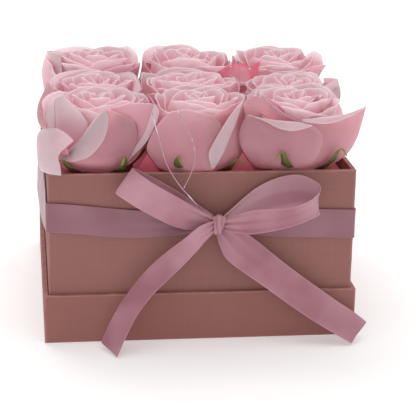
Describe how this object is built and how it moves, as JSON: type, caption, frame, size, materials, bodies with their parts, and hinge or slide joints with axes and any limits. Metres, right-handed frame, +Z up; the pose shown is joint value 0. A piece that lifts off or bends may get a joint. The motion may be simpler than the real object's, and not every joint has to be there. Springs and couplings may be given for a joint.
{
  "type": "flower box",
  "caption": "Square paper-covered gift box standing in its upturned lid, holding a grid of pink soap roses on a card insert, with a satin ribbon tied in a bow at the front.",
  "frame": {"origin": "centre of the upturned lid's underside, on the surface that the box stands on", "axes": "+Z up, the bow at the front faces -Y, +X to the right seen from the front"},
  "size_m": [0.1722, 0.1906, 0.1288],
  "materials": {
    "paper_cover": "matte",
    "insert_card": "matte",
    "sepal_green": "satin",
    "outer_petal": "matte",
    "middle_petal": "matte",
    "inner_petal": "matte",
    "bud_petal": "matte",
    "satin_ribbon": "satin",
    "hot_satin": "satin",
    "tinsel": "gloss"
  },
  "bodies": {
    "base": {"base_lid": "paper_cover"},
    "box": {"box_body": "paper_cover", "insert_card": "insert_card", "ribbon_band": "satin_ribbon", "bow_knot": "satin_ribbon", "bow_loop_left": "satin_ribbon", "bow_loop_right": "satin_ribbon", "bow_tail_left": "satin_ribbon", "bow_tail_right": "satin_ribbon"},
    "front_left_rose": {"front_left_rose_calyx": "sepal_green", "front_left_rose_outer_petals": "outer_petal", "front_left_rose_middle_petals": "middle_petal", "front_left_rose_inner_petals": "inner_petal", "front_left_rose_bud": "bud_petal"},
    "front_centre_rose": {"front_centre_rose_calyx": "sepal_green", "front_centre_rose_outer_petals": "outer_petal", "front_centre_rose_middle_petals": "middle_petal", "front_centre_rose_inner_petals": "inner_petal", "front_centre_rose_bud": "bud_petal", "tinsel_strand_front": "tinsel", "tinsel_strand_centre": "tinsel"},
    "front_right_rose": {"front_right_rose_calyx": "sepal_green", "front_right_rose_outer_petals": "outer_petal", "front_right_rose_middle_petals": "middle_petal", "front_right_rose_inner_petals": "inner_petal", "front_right_rose_bud": "bud_petal"},
    "middle_left_rose": {"middle_left_rose_calyx": "sepal_green", "middle_left_rose_outer_petals": "outer_petal", "middle_left_rose_middle_petals": "middle_petal", "middle_left_rose_inner_petals": "inner_petal", "middle_left_rose_bud": "bud_petal"},
    "middle_centre_rose": {"middle_centre_rose_calyx": "sepal_green", "middle_centre_rose_outer_petals": "outer_petal", "middle_centre_rose_middle_petals": "middle_petal", "middle_centre_rose_inner_petals": "inner_petal", "middle_centre_rose_bud": "bud_petal", "tinsel_strand_middle": "tinsel"},
    "middle_right_rose": {"middle_right_rose_calyx": "sepal_green", "middle_right_rose_outer_petals": "outer_petal", "middle_right_rose_middle_petals": "middle_petal", "middle_right_rose_inner_petals": "inner_petal", "middle_right_rose_bud": "bud_petal"},
    "back_left_rose": {"back_left_rose_calyx": "sepal_green", "back_left_rose_outer_petals": "outer_petal", "back_left_rose_middle_petals": "middle_petal", "back_left_rose_inner_petals": "inner_petal", "back_left_rose_bud": "bud_petal"},
    "back_centre_rose": {"back_centre_rose_calyx": "sepal_green", "back_centre_rose_outer_petals": "outer_petal", "back_centre_rose_middle_petals": "middle_petal", "back_centre_rose_inner_petals": "inner_petal", "back_centre_rose_bud": "bud_petal"},
    "back_right_rose": {"back_right_rose_calyx": "sepal_green", "back_right_rose_outer_petals": "outer_petal", "back_right_rose_middle_petals": "middle_petal", "back_right_rose_inner_petals": "inner_petal", "back_right_rose_bud": "bud_petal", "satin_curl": "hot_satin", "tinsel_strand_back": "tinsel"}
  },
  "joints": [
    {"name": "box_lift", "type": "slide", "parent": "base", "child": "box", "axis": [0, 0, 1], "range_m": [0, 0.06]},
    {"name": "front_left_rose_lift", "type": "slide", "parent": "box", "child": "front_left_rose", "axis": [0, 0, 1], "range_m": [0, 0.05]},
    {"name": "front_centre_rose_lift", "type": "slide", "parent": "box", "child": "front_centre_rose", "axis": [0, 0, 1], "range_m": [0, 0.05]},
    {"name": "front_right_rose_lift", "type": "slide", "parent": "box", "child": "front_right_rose", "axis": [0, 0, 1], "range_m": [0, 0.05]},
    {"name": "middle_left_rose_lift", "type": "slide", "parent": "box", "child": "middle_left_rose", "axis": [0, 0, 1], "range_m": [0, 0.05]},
    {"name": "middle_centre_rose_lift", "type": "slide", "parent": "box", "child": "middle_centre_rose", "axis": [0, 0, 1], "range_m": [0, 0.05]},
    {"name": "middle_right_rose_lift", "type": "slide", "parent": "box", "child": "middle_right_rose", "axis": [0, 0, 1], "range_m": [0, 0.05]},
    {"name": "back_left_rose_lift", "type": "slide", "parent": "box", "child": "back_left_rose", "axis": [0, 0, 1], "range_m": [0, 0.05]},
    {"name": "back_centre_rose_lift", "type": "slide", "parent": "box", "child": "back_centre_rose", "axis": [0, 0, 1], "range_m": [0, 0.05]},
    {"name": "back_right_rose_lift", "type": "slide", "parent": "box", "child": "back_right_rose", "axis": [0, 0, 1], "range_m": [0, 0.05]}
  ]
}
